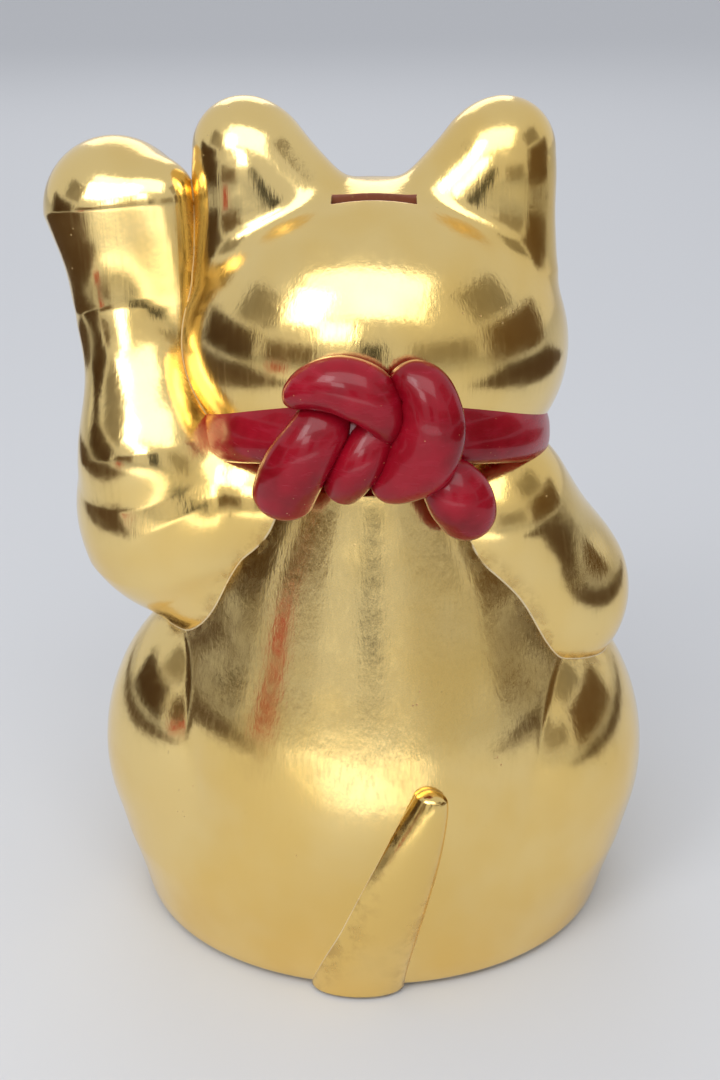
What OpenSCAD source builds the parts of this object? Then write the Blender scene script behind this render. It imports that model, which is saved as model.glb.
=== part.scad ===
// Beckoning cat coin bank: slip-cast body, head, arms and tail luted together,
// a moulded knotted collar, and a rubber stopper in the base.
// The face looks along -Y, the tail is at +Y, the raised arm is at +X.

/* [Body] */
// Half width of the foot of the body
base_half = 97; // [80:0.5:115]
// Depth of the foot behind the centre
base_back = 83; // [70:0.5:95]
// Half width of the torso where the arms join
chest_half = 79; // [65:0.5:90]
// Height of the neck rim
neck_z = 200; // [190:1:208]
// Radius of the coin passage through the neck
neck_r = 32; // [26:0.5:38]
// Radius of the foot's rounded lower edge
edge_r = 3; // [1:0.5:6]
// Distance of the left haunch's centre from the middle
haunch_x = 60.5; // [57:0.5:63]
// Distance of the right haunch's centre from the middle
haunch_far = 59; // [56:0.5:62]
// Height of the left haunch's centre
haunch_z = 75; // [70:0.5:79]
// Half height of the left haunch
haunch_h = 67; // [63:0.5:70]

/* [Head] */
// Half width of the head
head_half = 72.5; // [66:0.5:78]
// Half depth of the head
head_deep = 61; // [57:0.5:66]
// Half height of the head
head_high = 60; // [55:0.5:64]
// Height of the head centre
head_z = 240; // [236:0.5:245]
// Distance of an ear tip from the centre
ear_x = 47.5; // [42:0.5:50]
// Height of the ear tip's centre
ear_z = 311; // [305:0.5:316]
// Radius of the ear tip
ear_r = 17; // [13:0.5:20]
// Length of the coin slot
slot_l = 30; // [28:0.5:36]
// Width of the coin slot
slot_w = 4.7; // [4:0.1:6]
// Distance of the slot behind the head centre
slot_y = 18; // [0:0.5:24]

/* [Arms] */
// Distance of the raised paw from the centre
paw_x = 96; // [93:0.5:100]
// Height of the raised paw's centre
paw_z = 286; // [280:0.5:292]
// Radius of the raised paw
paw_r = 27; // [22:0.5:31]
// Radius of the raised wrist
wrist_r = 16.5; // [15:0.5:20]
// Radius of the raised elbow
elbow_r = 42; // [39:0.5:44]
// Radius of the lowered shoulder
shoulder_r = 36.5; // [33:0.5:38]
// Radius of the lowered paw
low_paw_r = 22; // [18:0.5:26]

/* [Tail] */
// Half width of the tail at the foot
tail_half = 17; // [12:0.5:22]
// Half thickness of the tail
tail_thick = 8.5; // [6:0.5:12]

/* [Collar] */
// Half width of the collar ring
collar_half = 60; // [54:0.5:66]
// Half depth of the collar ring
collar_deep = 61; // [55:0.5:66]
// Height of the collar ring's centre
collar_z = 204; // [198:0.1:208]
// Forward tilt of the collar ring
collar_tilt = 20; // [10:0.1:30]
// Half height of the band
band_h = 11.5; // [8:0.5:15]
// Half thickness of the band
band_t = 7.5; // [5:0.5:10]
// Half width of a knot strand
strand_w = 10; // [9:0.25:11]
// Half thickness of a knot strand
strand_t = 9; // [8:0.25:10]

/* [Front] */
// Radius of the bell
bell_r = 14; // [10:0.5:18]
// Half width of the oval plaque
plaque_w = 22; // [16:0.5:28]
// Half height of the oval plaque
plaque_h = 34; // [26:0.5:40]
// Thickness of the oval plaque
plaque_t = 8; // [5:0.5:12]

/* [Base] */
// Thickness of the cast walls
wall = 5; // [4:0.5:8]
// Thickness of the felt ring
felt_t = 1.6; // [1:0.1:3]
// Radius of the base plate
plate_r = 62; // [50:0.5:70]
// Thickness of the base plate
plate_t = 5; // [4:0.5:8]
// Underside height of the base plate
plate_z = 3.2; // [3:0.1:5]
// Radius of the stopper's hole
bore_r = 20; // [15:0.5:25]
// Radial clearance of the stopper
bore_gap = 0.05; // [0.01:0.01:0.1]
// Radius of the stopper's flange
flange_r = 25; // [21:0.5:30]

/* [Hidden] */
around = 76;

// Height, half width, back depth and front depth of the torso
torso = [
    [0, base_half, base_back, 91],
    [12, base_half + 2, base_back + 3, 93],
    [36, base_half + 2, base_back + 6, 93],
    [69, base_half - 7, base_back + 5, 89],
    [100, chest_half + 12, base_back - 2, 82],
    [133, chest_half, base_back - 14, 70],
    [160, chest_half - 9, base_back - 19, 62],
    [192, chest_half - 25, base_back - 25, 56],
    [210, chest_half - 33, base_back - 28, 50],
];

// Smooth curve through one column of a profile
function slope(p, i, c) =
    let (a = p[max(i - 1, 0)], b = p[min(i + 1, len(p) - 1)])
    (b[c] - a[c]) / (b[0] - a[0]);
function curve(p, z, c) =
    let (i = min(max(len([for (q = p) if (q[0] <= z) 1]) - 1, 0), len(p) - 2))
    let (h = p[i + 1][0] - p[i][0])
    let (t = min(max((z - p[i][0]) / h, 0), 1))
    (2 * t * t * t - 3 * t * t + 1) * p[i][c]
    + (t * t * t - 2 * t * t + t) * h * slope(p, i, c)
    + (3 * t * t - 2 * t * t * t) * p[i + 1][c]
    + (t * t * t - t * t) * h * slope(p, i + 1, c);

// Distances to an ellipsoid, to a tapering limb and to a smooth join of two
function blob(q, r) =
    let (a = norm([q[0] / r[0], q[1] / r[1], q[2] / r[2]]))
    let (b = norm([q[0] / r[0] / r[0], q[1] / r[1] / r[1], q[2] / r[2] / r[2]]))
    a * (a - 1) / max(b, 0.000001);
function limb(p, a, b, ra, rb) =
    let (v = b - a, q = p - a)
    let (h = min(max((q * v) / (v * v), 0), 1))
    norm(q - v * h) - ra - (rb - ra) * h;
function soft(a, b, k) =
    let (h = max(k - abs(a - b), 0) / k)
    min(a, b) - h * h * h * k / 6;
function tipped(q, t) = [q[0] * cos(t) - q[2] * sin(t), q[1], q[0] * sin(t) + q[2] * cos(t)];

// Body: torso, haunches and front feet; the joins are soft low down and sharp higher up
function torso_row(z) = [curve(torso, z, 1), curve(torso, z, 2), curve(torso, z, 3)];
function trunk(p, w) =
    let (b = p[1] > 0 ? w[1] : w[2])
    let (m = norm([p[0] / w[0], p[1] / b]))
    m * (m - 1) / max(norm([p[0] / w[0] / w[0], p[1] / b / b]), 0.000001);
function haunch(p) = p[0] > 0
    ? blob(tipped([p[0] - haunch_x, p[1] - 5.5, p[2] - haunch_z], -10), [50.5, 50, haunch_h])
    : blob(tipped([-p[0] - haunch_far, p[1] - 2.5, p[2] - haunch_z + 3], -10), [52, 61.5, haunch_h]);
function foot(p) = limb([abs(p[0]), p[1], p[2]], [34, -58, 20], [50, -88, 17], 24, 18);
function body_gap(p, w) =
    let (k = 24 - 22 * min(max((p[2] - 32) / 48, 0), 1))
    soft(soft(trunk(p, w), haunch(p), k), foot(p), 16);

// Head: skull, cheeks, muzzle and ears
function ear(q) = soft(
    limb(q, [43, -2, 270], [ear_x, -4, ear_z], 25, ear_r),
    limb(q, [22.5, 0, 285.5], [ear_x - 5.5, -3, ear_z - 7], 19, ear_r + 3),
    14);
function head_gap(p) =
    let (q = [abs(p[0]), p[1], p[2]])
    let (a = blob(p - [0, 0, head_z], [head_half, head_deep, head_high]))
    let (b = soft(a, blob(p - [0, -20, head_z - 13], [head_half - 3.5, 46, 40]), 26))
    let (c = soft(b, blob(p - [0, -60, head_z - 14], [22, 14, 15]), 18))
    soft(c, ear(q), 8);

// Arms
function raised_gap(p) =
    let (a = limb(p, [paw_x, -14, paw_z], [93, -6, 251], paw_r, wrist_r))
    let (b = soft(a, limb(p, [93, -6, 251], [82.5, 11, 200], wrist_r, elbow_r - 14), 20))
    let (c = soft(b, limb(p, [82.5, 11, 200], [72.5, 2, 173.5], elbow_r - 14, elbow_r), 14))
    let (d = soft(c, limb(p, [72.5, 2, 173.5], [42.5, 16, 184], elbow_r, elbow_r - 11.5), 14))
    let (e = soft(d, limb(p, [72.5, 2, 173.5], [58.5, 8, 151], elbow_r, elbow_r - 10), 10))
    soft(e, limb(p, [78.5, 0, 293], [70, -2, 222], 13.5, 12), 16);
function lowered_gap(p) = soft(
    limb(p, [-41, 13.5, 176], [-64, 1.5, 137], shoulder_r, shoulder_r - 0.5),
    limb(p, [-64, 1.5, 137], [-60, -62, 112], shoulder_r - 0.5, low_paw_r), 16);

// First surface along a ray, by halving; kind picks the piece, inset moves it inwards
function gap(kind, p, w) =
    kind == 0 ? body_gap(p, w) :
    kind == 1 ? head_gap(p) :
    kind == 2 ? raised_gap(p) :
    lowered_gap(p);
function hit(kind, o, d, w, inset, lo, hi, n) =
    let (m = (lo + hi) / 2)
    n == 0 ? o + d * m :
    gap(kind, o + d * m, w) + inset < 0
        ? hit(kind, o, d, w, inset, m, hi, n - 1)
        : hit(kind, o, d, w, inset, lo, m, n - 1);

// Rings of points; tilt turns the rays of the end rings towards the poles
function ring(kind, o, tilt, n, inset, reach) =
    let (w = kind == 0 ? torso_row(o[2]) : [0, 0, 0])
    [for (i = [0:n - 1])
        let (a = i * 360 / n)
        let (d = [cos(a) * cos(tilt), sin(a) * cos(tilt), sin(tilt)])
        hit(kind, o, d, w, inset, 0, reach, 14)];
function pole(kind, o, s, inset, reach) = hit(kind, o, [0, 0, s], [1, 1, 1], inset, 0, reach, 14);
function capsule(kind, a, b, n, cap, mid, inset, reach) = [
    for (i = [1:cap]) ring(kind, a, -90 + 90 * i / (cap + 1), n, inset, reach),
    for (i = [0:mid]) ring(kind, a + (b - a) * i / mid, 0, n, inset, reach),
    for (i = [1:cap]) ring(kind, b, 90 * i / (cap + 1), n, inset, reach)];

// Closed skin over a stack of rings
module skin(rings, low, high) {
    n = len(rings[0]);
    m = len(rings);
    points = [low, high, for (r = rings) each r];
    faces = [
        for (i = [0:n - 1]) [0, 2 + i, 2 + (i + 1) % n],
        for (i = [0:n - 1]) [1, 2 + (m - 1) * n + (i + 1) % n, 2 + (m - 1) * n + i],
        for (j = [0:m - 2], i = [0:n - 1]) [2 + j * n + i, 2 + j * n + n + i, 2 + j * n + (i + 1) % n],
        for (j = [0:m - 2], i = [0:n - 1])
            [2 + j * n + n + i, 2 + j * n + n + (i + 1) % n, 2 + j * n + (i + 1) % n]];
    polyhedron(points = points, faces = faces, convexity = 6);
}

// One mesh for a whole cast piece
module cast() {
    resize([0, 0, 0]) union() {
        children();
    }
}

module body_skin() {
    levels = [
        felt_t + edge_r * 0.3,
        for (i = [0:27]) felt_t + edge_r + (neck_z - felt_t - edge_r) * i / 27];
    rim = ring(0, [0, -3, felt_t], 0, around, edge_r, 170);
    rows = [for (z = levels) ring(0, [0, -3, z], 0, around, z < felt_t + edge_r ? edge_r * 0.3 : 0, 170)];
    skin([rim, each rows], [0, -3, felt_t], [0, -3, neck_z]);
}
module head_skin() {
    c = [0, -3, head_z + 3];
    rows = [for (i = [1:31]) ring(1, c, -90 + 5.625 * i, 64, 0, 130)];
    skin(rows, pole(1, c, -1, 0, 130), pole(1, c, 1, 0, 130));
}
module raised_skin() {
    a = [82, 2, 166];
    b = [paw_x, -12, paw_z];
    skin(capsule(2, a, b, 40, 5, 14, 0, 90), pole(2, a, -1, 0, 90), pole(2, b, 1, 0, 90));
}
module raised_hollow() {
    a = [82, 2, 166];
    b = [paw_x, -12, paw_z];
    skin(capsule(2, a, b, 22, 2, 7, wall, 90), pole(2, a, -1, wall, 90), pole(2, b, 1, wall, 90));
}
module lowered_skin() {
    a = [-62, -48, 118];
    b = [-52, 8, 168];
    skin(capsule(3, a, b, 36, 4, 9, 0, 110), pole(3, a, -1, 0, 110), pole(3, b, 1, 0, 110));
}
module lowered_hollow() {
    a = [-62, -48, 118];
    b = [-52, 8, 168];
    skin(capsule(3, a, b, 20, 2, 4, wall, 110), pole(3, a, -1, wall, 110), pole(3, b, 1, wall, 110));
}
module body_hollow() {
    rows = [for (i = [0:12]) ring(0, [0, -3, 10 + (neck_z - wall - 12) * i / 12], 0, 40, wall, 170)];
    skin(rows, [0, -3, 10], [0, -3, neck_z - wall - 2]);
}
module head_hollow() {
    c = [0, -3, head_z];
    rows = [for (i = [1:15]) ring(1, c, -90 + 11.25 * i, 32, wall, 130)];
    skin(rows, pole(1, c, -1, wall, 130), pole(1, c, 1, wall, 130));
}

module body_casting() {
    color([0.83, 0.66, 0.3]) cast() difference() {
        body_skin();
        body_hollow();
        translate([0, 0, neck_z - 2 * wall - 6]) cylinder(r = neck_r, h = 4 * wall, $fn = 64);
        translate([0, 0, -1]) cylinder(r = plate_r - 5, h = 14, $fn = 96);
        translate([0, 0, -1]) cylinder(r = plate_r + 0.05, h = plate_z + plate_t + 1, $fn = 96);
    }
}

module head_casting() {
    color([0.83, 0.66, 0.3]) cast() difference() {
        head_skin();
        body_skin();
        head_hollow();
        translate([-slot_l / 2, slot_y - slot_w / 2, head_z]) cube([slot_l, slot_w, 80]);
    }
}

module raised_arm() {
    color([0.83, 0.66, 0.3]) cast() difference() {
        raised_skin();
        raised_hollow();
        body_skin();
        head_skin();
    }
}

module lowered_arm() {
    color([0.83, 0.66, 0.3]) cast() difference() {
        lowered_skin();
        lowered_hollow();
        body_skin();
        head_skin();
    }
}

// A strand swept along points of position, half width and half thickness
function along(c, t) =
    let (s = min(max(t, 0), 1) * (len(c) - 1))
    let (i = min(floor(s), len(c) - 2), f = s - i)
    let (b = c[i], d = c[i + 1])
    let (a = i > 0 ? c[i - 1] : 2 * b - d, e = i < len(c) - 2 ? c[i + 2] : 2 * d - b)
    0.5 * (2 * b + (d - a) * f + (2 * a - 5 * b + 4 * d - e) * f * f
        + (3 * b - a - 3 * d + e) * f * f * f);
function place(c, t) = let (q = along(c, t)) [q[0], q[1], q[2]];
function unit(v) = v / norm(v);
module strand(c, n, m, end, up) {
    rows = [
        for (j = [1:m - 1])
            let (t = (1 - cos(180 * j / m)) / 2)
            let (q = along(c, t))
            let (dir = unit(place(c, t + 0.01) - place(c, t - 0.01)))
            let (side = unit(cross(dir, up)), out = cross(side, dir))
            let (near = 1 - min(min(t, 1 - t) / end, 1))
            let (k = sqrt(1 - near * near))
            [for (i = [0:n - 1])
                let (a = -360 * i / n)
                place(c, t) + side * (q[3] * k * cos(a)) + out * (q[4] * k * sin(a))]];
    skin(rows, place(c, 0), place(c, 1));
}

module tail_skin() {
    w = tail_half;
    t = tail_thick;
    strand([
        [-22, 83, 93, w * 0.3, t * 0.6],
        [-20, 84.5, 84, w * 0.45, t * 0.75],
        [-14.2, 86, 67, w * 0.65, t * 0.9],
        [-6, 86, 43.5, w * 0.82, t],
        [3, 83, 15, w, t],
        [8.8, 79, -9, w * 1.1, t],
    ], 20, 18, 0.08, [0, 1, 0]);
}
module tail() {
    color([0.83, 0.66, 0.3]) cast() difference() {
        tail_skin();
        body_skin();
        translate([-60, 0, -40]) cube([120, 120, 40 + felt_t]);
    }
}

// Collar: an oval ring with an oval section, lower at the front
module collar_skin() {
    n = 48;
    m = 12;
    points = [
        for (i = [0:n - 1])
            let (a = 360 * i / n)
            let (g = unit([cos(a) / collar_half, sin(a) / collar_deep]))
            for (j = [0:m - 1])
                let (b = 360 * j / m)
                [collar_half * cos(a) + band_t * cos(b) * g[0],
                    collar_deep * sin(a) + band_t * cos(b) * g[1],
                    band_h * sin(b)]];
    faces = [
        for (i = [0:n - 1], j = [0:m - 1])
            let (k = (i + 1) % n, l = (j + 1) % m)
            each [[i * m + j, i * m + l, k * m + j], [k * m + j, i * m + l, k * m + l]]];
    translate([0, 2, collar_z]) rotate([collar_tilt, 0, 0])
        polyhedron(points = points, faces = faces, convexity = 6);
}
module figure() {
    body_skin();
    head_skin();
    raised_skin();
    lowered_skin();
}
module collar_band() {
    color([0.62, 0.05, 0.1]) cast() difference() {
        collar_skin();
        figure();
    }
}

// Knot at the nape: two lobes over a middle strand, and two hanging ends
knot_up = [0, 1, 0.35];
module right_lobe_skin() {
    w = strand_w;
    t = strand_t;
    strand([
        [-6, 65, 248, w * 0.5, t * 0.67],
        [-15.5, 69, 244.5, w * 0.9, t * 0.95],
        [-19.5, 71.5, 236.5, w * 1.03, t * 1.05],
        [-19.5, 72, 227.5, w * 1.14, t * 1.05],
        [-15.5, 70.5, 218, w * 1.18, t * 1.05],
        [-8, 67, 210, w * 0.88, t * 0.9],
        [0, 62, 205.5, w * 0.5, t * 0.67],
    ], 16, 16, 0.1, knot_up);
}
module left_lobe_skin() {
    w = strand_w;
    t = strand_t;
    strand([
        [30, 61, 236.5, w * 0.36, t * 0.55],
        [21.5, 66, 243, w * 0.78, t * 0.9],
        [12, 69, 245, w, t],
        [3, 70, 242, w * 1.04, t],
        [-3.5, 68.5, 234.5, w * 0.85, t * 0.9],
        [-7, 64, 224.5, w * 0.6, t * 0.67],
    ], 16, 16, 0.1, knot_up);
}
module middle_strand_skin() {
    w = strand_w;
    t = strand_t;
    strand([
        [-4, 63, 231, w * 0.7, t * 0.67],
        [3, 67, 219.5, w * 0.85, t * 0.9],
        [8, 66, 211.5, w * 0.82, t * 0.9],
        [12, 60, 203, w * 0.7, t * 0.78],
    ], 16, 12, 0.12, knot_up);
}
module left_end_skin() {
    w = strand_w;
    t = strand_t;
    strand([
        [11.5, 61, 238, w * 0.85, t * 0.67],
        [20.5, 66.5, 225, w * 1.04, t],
        [27, 66, 214.5, w * 1.14, t * 1.05],
        [31, 62, 204.5, w * 1.14, t * 1.05],
        [33.5, 57, 194, w * 1.05, t],
    ], 16, 14, 0.18, knot_up);
}
module right_end_skin() {
    w = strand_w;
    t = strand_t;
    strand([
        [-20, 60, 215, w * 0.75, t * 0.72],
        [-28, 64.5, 205, w * 1.12, t],
        [-32, 63, 197.5, w * 1.12, t * 1.05],
        [-34.5, 57.5, 186.5, w * 0.85, t * 0.95],
    ], 16, 14, 0.22, knot_up);
}
module knot_right_lobe() {
    color([0.62, 0.05, 0.1]) cast() difference() {
        right_lobe_skin();
        figure();
        collar_skin();
    }
}
module knot_left_lobe() {
    color([0.62, 0.05, 0.1]) cast() difference() {
        left_lobe_skin();
        figure();
        collar_skin();
        right_lobe_skin();
    }
}
module knot_middle() {
    color([0.62, 0.05, 0.1]) cast() difference() {
        middle_strand_skin();
        figure();
        collar_skin();
        right_lobe_skin();
        left_lobe_skin();
    }
}
module knot_left_end() {
    color([0.62, 0.05, 0.1]) cast() difference() {
        left_end_skin();
        figure();
        collar_skin();
        right_lobe_skin();
        left_lobe_skin();
        middle_strand_skin();
    }
}
module knot_right_end() {
    color([0.62, 0.05, 0.1]) cast() difference() {
        right_end_skin();
        figure();
        collar_skin();
        right_lobe_skin();
    }
}

// Front: a crotal bell under the collar and a plain oval plaque under the lowered paw
module bell_skin() {
    translate([0, -72, 163]) rotate([-18, 0, 0]) {
        sphere(r = bell_r, $fn = 24);
        rotate_extrude($fn = 24) translate([bell_r - 0.6, 0]) circle(r = 1.8, $fn = 8);
        translate([0, 0, bell_r + 1]) rotate([90, 0, 90])
            rotate_extrude($fn = 20) translate([3.6, 0]) circle(r = 1.5, $fn = 8);
    }
}
module bell() {
    color([0.9, 0.72, 0.3]) cast() difference() {
        bell_skin();
        figure();
        collar_skin();
        translate([0, -72, 163]) rotate([-18, 0, 0]) {
            translate([-bell_r * 0.6, -bell_r - 3, -6]) cube([bell_r * 1.2, 6, 2]);
            for (s = [-1, 1]) translate([s * bell_r * 0.6, 0, -5]) rotate([90, 0, 0])
                cylinder(r = 2, h = bell_r + 4, $fn = 16);
        }
    }
}
module plaque() {
    color([0.9, 0.72, 0.3]) cast() difference() {
        translate([-20, -84, 92]) rotate([84, 0, -6]) scale([plaque_w / plaque_h, 1, 1])
            rotate_extrude($fn = 44) polygon([
                [0, -plaque_t / 2],
                [plaque_h - 1.5, -plaque_t / 2],
                [plaque_h, -plaque_t / 2 + 1.5],
                [plaque_h, plaque_t / 2 - 1.5],
                [plaque_h - 1.5, plaque_t / 2],
                [plaque_h - 4, plaque_t / 2],
                [plaque_h - 5, plaque_t / 2 - 1.2],
                [0, plaque_t / 2 - 1.2],
            ]);
        body_skin();
        lowered_skin();
    }
}

// Base: luted plate with a bored hole, rubber stopper, felt ring
module base_plate() {
    color([0.86, 0.82, 0.74]) translate([0, 0, plate_z]) difference() {
        cylinder(r = plate_r, h = plate_t);
        translate([0, 0, -1]) cylinder(r = bore_r, h = plate_t + 2);
    }
}
module stopper() {
    plug = bore_r - bore_gap;
    color([0.12, 0.12, 0.12]) union() {
        rotate_extrude() polygon([
            [0, 1],
            [flange_r - 0.6, 1],
            [flange_r, 1.6],
            [flange_r, plate_z - 0.3],
            [plug, plate_z - 0.3],
            [plug, plate_z + plate_t + 0.4],
            [plug - 1.5, plate_z + plate_t + 5],
            [0, plate_z + plate_t + 5],
        ]);
        translate([0, flange_r + 2, 1]) cylinder(r = 7, h = plate_z - 1.3);
    }
}
module felt_ring() {
    foot_ring = ring(0, [0, -3, felt_t], 0, 96, edge_r + 1.2, 170);
    color([0.16, 0.13, 0.12]) linear_extrude(felt_t) difference() {
        polygon([for (p = foot_ring) [p[0], p[1]]]);
        circle(r = plate_r + 3);
    }
}

body_casting();
head_casting();
raised_arm();
lowered_arm();
tail();
collar_band();
knot_right_lobe();
knot_left_lobe();
knot_middle();
knot_left_end();
knot_right_end();
bell();
plaque();
base_plate();
stopper();
felt_ring();
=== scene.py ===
import bpy
import math
import numpy as np
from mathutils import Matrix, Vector


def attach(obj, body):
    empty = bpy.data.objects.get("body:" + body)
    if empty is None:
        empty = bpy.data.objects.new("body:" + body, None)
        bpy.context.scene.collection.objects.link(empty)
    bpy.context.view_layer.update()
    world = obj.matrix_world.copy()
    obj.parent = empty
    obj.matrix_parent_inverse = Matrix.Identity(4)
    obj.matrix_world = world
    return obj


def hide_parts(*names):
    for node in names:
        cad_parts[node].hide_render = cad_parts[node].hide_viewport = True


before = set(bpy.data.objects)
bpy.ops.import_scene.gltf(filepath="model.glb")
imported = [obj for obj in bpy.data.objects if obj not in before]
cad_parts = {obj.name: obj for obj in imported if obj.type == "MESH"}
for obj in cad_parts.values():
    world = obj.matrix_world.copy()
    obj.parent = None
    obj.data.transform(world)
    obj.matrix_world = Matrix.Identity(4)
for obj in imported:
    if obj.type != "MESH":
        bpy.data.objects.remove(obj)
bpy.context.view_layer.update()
print("frame loaded")

mm = 0.001          # shapes below are worked out in millimetres
full = 1.0   # grid density
farOff = 40.0       # a distance that stands for "nothing near"


# Distance functions; every point array has shape (..., 3)

def blob(points, centre, radii, tip=0.0):
    # ellipsoid: a(a-1)/b with a = |p/r| and b = |p/r^2|
    q = points - np.array(centre, float)
    if tip:
        c, s = math.cos(math.radians(tip)), math.sin(math.radians(tip))
        q = np.stack([q[..., 0] * c - q[..., 2] * s, q[..., 1], q[..., 0] * s + q[..., 2] * c], -1)
    r = np.array(radii, float)
    a = np.linalg.norm(q / r, axis=-1)
    b = np.linalg.norm(q / r ** 2, axis=-1)
    return a * (a - 1) / np.maximum(b, 1e-6)


def limb(points, start, end, startRadius, endRadius):
    # tapering limb: distance to the axis less a radius that changes evenly along it
    start, end = np.array(start, float), np.array(end, float)
    v = end - start
    q = points - start
    h = np.clip(q @ v / (v @ v), 0, 1)
    return np.linalg.norm(q - h[..., None] * v, axis=-1) - startRadius - (endRadius - startRadius) * h


def link(points, shape, start, end):
    # limb between two named joints, each kept as its place and radius
    return limb(points, shape[start][0], shape[end][0], shape[start][1], shape[end][1])


def soft(a, b, k):
    # smooth join: min(a, b) - k h^3 / 6, where h is how close a and b are
    h = np.maximum(k - np.abs(a - b), 0) / k
    return np.minimum(a, b) - h ** 3 * k / 6


def curve(rows, z, column):
    # cubic through one column of a profile, with slopes from the neighbours
    p = np.array(rows, float)
    x, y = p[:, 0], p[:, column]
    z = np.clip(z, x[0], x[-1])
    m = np.empty(len(x))
    m[1:-1] = (y[2:] - y[:-2]) / (x[2:] - x[:-2])
    m[0] = (y[1] - y[0]) / (x[1] - x[0])
    m[-1] = (y[-1] - y[-2]) / (x[-1] - x[-2])
    i = np.clip(np.searchsorted(x, z, side="right") - 1, 0, len(x) - 2)
    h = x[i + 1] - x[i]
    t = (z - x[i]) / h
    return ((2 * t ** 3 - 3 * t ** 2 + 1) * y[i] + (t ** 3 - 2 * t ** 2 + t) * h * m[i]
            + (3 * t ** 2 - 2 * t ** 3) * y[i + 1] + (t ** 3 - t ** 2) * h * m[i + 1])


def surfaceHit(field, origin, direction, reach, inset=0.0):
    # where each ray from inside crosses field = -inset, found by halving
    low = np.zeros(direction.shape[:-1])
    high = np.full(direction.shape[:-1], float(reach))
    for _ in range(26):
        middle = (low + high) / 2
        inside = field(origin + direction * middle[..., None]) + inset < 0
        low = np.where(inside, middle, low)
        high = np.where(inside, high, middle)
    return origin + direction * ((low + high) / 2)[..., None]


# Grids of rays

def levelRings(field, heights, insets, axis, around, reach):
    # one ring of level rays at each height, from a centre line
    u = np.linspace(0, 2 * np.pi, around, endpoint=False)
    d = np.broadcast_to(np.stack([np.cos(u), np.sin(u), 0 * u], -1), (len(heights), around, 3))
    o = np.stack([np.full(len(heights), axis[0]), np.full(len(heights), axis[1]), heights], -1)
    o = np.broadcast_to(o[:, None], d.shape)
    return surfaceHit(field, o, d, reach, np.asarray(insets, float)[:, None])


def capsuleRings(field, low, high, around, cap, middle, reach):
    # rings that fan out from the low point, climb level to the high point and close over it
    low, high = np.array(low, float), np.array(high, float)
    fan = np.linspace(0, 90, cap + 1)[1:-1]
    tilt = np.concatenate([fan - 90, np.zeros(middle), fan])
    place = np.concatenate([np.zeros(cap - 1), np.linspace(0, 1, middle), np.ones(cap - 1)])
    tilt = np.radians(tilt)[:, None]
    u = np.linspace(0, 2 * np.pi, around, endpoint=False)[None]
    d = np.stack(np.broadcast_arrays(np.cos(u) * np.cos(tilt), np.sin(u) * np.cos(tilt), np.sin(tilt)), -1)
    o = np.broadcast_to((low + (high - low) * place[:, None])[:, None], d.shape)
    rings = surfaceHit(field, o, d, reach)
    ends = surfaceHit(field, np.stack([low, high]), np.array([[0, 0, -1.0], [0, 0, 1.0]]), reach)
    return rings, ends[0], ends[1]


def boxedBall(field, centre, n, reach):
    # rays through the six sides of a cube, spaced evenly in angle
    t = np.tan(np.linspace(-np.pi / 4, np.pi / 4, n))
    a, b = np.meshgrid(t, t, indexing="ij")
    one = np.ones_like(a)
    sides = [(one, a, b), (-one, b, a), (b, one, a), (a, -one, b), (a, b, one), (b, a, -one)]
    d = np.stack([np.stack(s, -1) for s in sides])
    d = d / np.linalg.norm(d, axis=-1, keepdims=True)
    return surfaceHit(field, np.broadcast_to(np.array(centre, float), d.shape), d, reach)


# Meshes from grids

def fillMesh(name, points, faces, attributes, smooth=True):
    mesh = bpy.data.meshes.new(name)
    mesh.from_pydata((points * mm).tolist(), [], faces.tolist() if hasattr(faces, "tolist") else faces)
    mesh.update()
    if smooth:
        mesh.polygons.foreach_set("use_smooth", np.ones(len(mesh.polygons), bool))
    for key, values in attributes.items():
        layer = mesh.attributes.new(key, "FLOAT", "POINT")
        layer.data.foreach_set("value", np.asarray(values, np.float32))
    piece = bpy.data.objects.new(name, mesh)
    bpy.context.scene.collection.objects.link(piece)
    return piece


def ringFaces(rows, columns, wrapRows=False):
    # quads of a grid that closes on itself sideways
    j = np.arange(rows if wrapRows else rows - 1)[:, None]
    i = np.arange(columns)[None]
    k = (i + 1) % columns
    a = j * columns
    b = ((j + 1) % rows) * columns
    return np.stack(np.broadcast_arrays(a + i, a + k, b + k, b + i), -1).reshape(-1, 4)


def skin(name, rings, lowPoint, highPoint, attributes):
    # closed skin over a stack of rings, with a fan at each end
    rows, columns = rings.shape[:2]
    points = np.concatenate([rings.reshape(-1, 3), [lowPoint], [highPoint]])
    i = np.arange(columns)
    k = (i + 1) % columns
    last = (rows - 1) * columns
    low = np.stack([np.full(columns, rows * columns), k, i], -1)
    high = np.stack([np.full(columns, rows * columns + 1), last + i, last + k], -1)
    faces = ringFaces(rows, columns).tolist() + low.tolist() + high.tolist()
    return fillMesh(name, points, faces, {key: f(points) for key, f in attributes.items()})


def ballSkin(name, sides, attributes):
    # six square grids joined along their shared edges
    n = sides.shape[1]
    points = sides.reshape(-1, 3)
    _, first, back = np.unique(np.round(points, 3), axis=0, return_index=True, return_inverse=True)
    back = back.reshape(-1)
    s = np.arange(6)[:, None, None] * n * n
    j = np.arange(n - 1)[None, :, None] * n
    i = np.arange(n - 1)[None, None]
    a = s + j + i
    faces = back[np.stack([a, a + n, a + n + 1, a + 1], -1).reshape(-1, 4)]
    kept = points[first]
    return fillMesh(name, kept, faces, {key: f(kept) for key, f in attributes.items()})


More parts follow.
